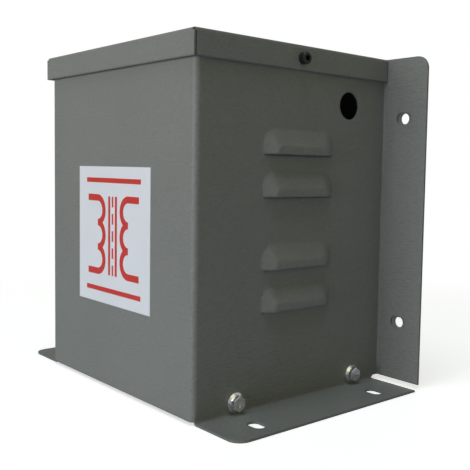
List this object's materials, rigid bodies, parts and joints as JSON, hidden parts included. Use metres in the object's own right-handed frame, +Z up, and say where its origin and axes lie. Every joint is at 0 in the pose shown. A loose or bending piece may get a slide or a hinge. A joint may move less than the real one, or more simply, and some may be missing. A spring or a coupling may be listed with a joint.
{
  "type": "isolation transformer",
  "caption": "Enclosed isolation transformer in a grey folded steel case with louvred sides, screwed lid, slotted mounting feet and slotted wall flanges.",
  "frame": {"origin": "centre of the bounding box at floor level, under the feet", "axes": "+X to the right seen from the front panel, +Y to the rear towards the wall, +Z up"},
  "size_m": [0.296, 0.1924, 0.26],
  "materials": {
    "case_paint": "fine textured grey powder coat",
    "plated_sheet": "zinc plated sheet",
    "lamination_steel": "varnished silicon steel laminations",
    "clamp_steel": "black painted steel angle",
    "black_screw": "black oxide",
    "zinc_fastener": "bright zinc plate",
    "enamelled_copper": "enamelled copper wire",
    "copper_foil": "bare copper foil",
    "insulation": "amber insulating film",
    "bobbin_plastic": "glass filled nylon",
    "label": "white film label",
    "terminal_plastic": "grey moulded polyamide",
    "earth_terminal_plastic": "green moulded polyamide",
    "primary_wire": "brown sleeving",
    "secondary_wire": "red sleeving",
    "earth_wire": "green sleeving",
    "tinned_copper": "tinned copper"
  },
  "bodies": {
    "root": {"back_plate": "case_paint", "base_tray": "plated_sheet", "bobbin": "bobbin_plastic", "bracket_nuts": "zinc_fastener", "bracket_screws": "zinc_fastener", "case_shell": "case_paint", "chassis_bolt_1": "zinc_fastener", "chassis_bolt_2": "zinc_fastener", "chassis_bolt_3": "zinc_fastener", "chassis_bolt_4": "zinc_fastener", "coil_wrap": "insulation", "core_bolts": "zinc_fastener", "core_e_stack": "lamination_steel", "core_i_stack": "lamination_steel", "core_nuts": "zinc_fastener", "core_washers": "zinc_fastener", "earth_lead": "earth_wire", "earth_lug": "tinned_copper", "earth_nuts": "zinc_fastener", "earth_stud": "zinc_fastener", "earth_terminal": "earth_terminal_plastic", "earth_washer": "zinc_fastener", "end_stop_left": "terminal_plastic", "end_stop_right": "terminal_plastic", "front_label": "label", "inner_insulation": "insulation", "lid": "case_paint", "lid_nuts": "zinc_fastener", "lid_screw_left": "black_screw", "lid_screw_right": "black_screw", "lower_clamp_front": "clamp_steel", "lower_clamp_rear": "clamp_steel", "outer_insulation": "insulation", "primary_lead_1": "primary_wire", "primary_lead_2": "primary_wire", "primary_terminal_1": "terminal_plastic", "primary_terminal_2": "terminal_plastic", "primary_winding": "enamelled_copper", "rail_rivets": "zinc_fastener", "screen_foil": "copper_foil", "screen_lead": "earth_wire", "screen_lug": "tinned_copper", "secondary_lead_1": "secondary_wire", "secondary_lead_2": "secondary_wire", "secondary_terminal_1": "terminal_plastic", "secondary_terminal_2": "terminal_plastic", "secondary_winding": "enamelled_copper", "terminal_bracket": "plated_sheet", "terminal_rail": "plated_sheet", "terminal_screws": "zinc_fastener", "tray_bolt_nuts": "zinc_fastener", "tray_bolts": "zinc_fastener", "tray_nuts": "zinc_fastener", "tray_washers": "zinc_fastener", "upper_clamp_front": "clamp_steel", "upper_clamp_rear": "clamp_steel"}
  },
  "joints": []
}
